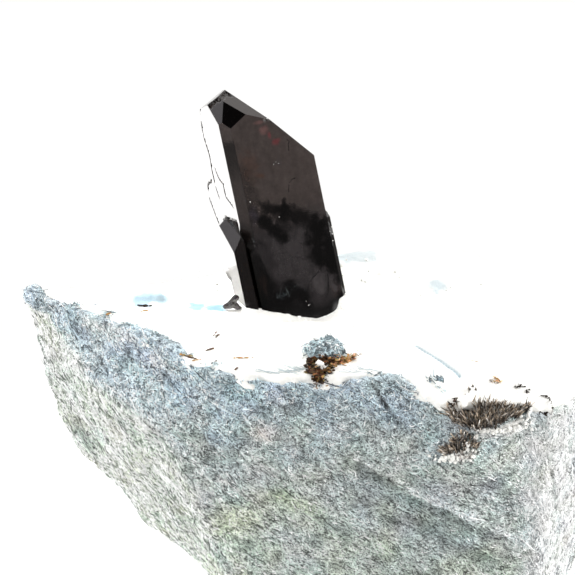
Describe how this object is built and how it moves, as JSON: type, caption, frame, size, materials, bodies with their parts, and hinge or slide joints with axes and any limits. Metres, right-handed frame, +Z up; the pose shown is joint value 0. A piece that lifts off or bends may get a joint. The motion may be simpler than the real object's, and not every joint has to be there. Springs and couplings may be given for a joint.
{
  "type": "neptunite specimen",
  "caption": "Mineral specimen: a glossy black prismatic neptunite crystal standing on white natrolite over a wedge of blue-grey fibrous schist.",
  "frame": {"origin": "centre of the whole specimen's bounding box, on the flat foot it stands on", "axes": "+Z up out of the flat foot; +X along the specimen's long side, from the pointed end to the blunt end; -Y towards the display side, which the crystal's broad face looks out of"},
  "size_m": [0.0601, 0.0325, 0.0551],
  "materials": {
    "schist": "rough, fibrous",
    "natrolite": "sugary, satin",
    "neptunite": "glassy gloss",
    "iron_rust": "earthy",
    "brown_blades": "silky"
  },
  "bodies": {
    "root": {"schist_matrix": "schist", "natrolite_crust": "natrolite", "neptunite_crystal": "neptunite", "neptunite_chip": "neptunite", "schist_clast": "schist", "rust_cluster": "iron_rust", "brown_tuft_large": "brown_blades", "brown_tuft_small": "brown_blades"}
  },
  "joints": []
}
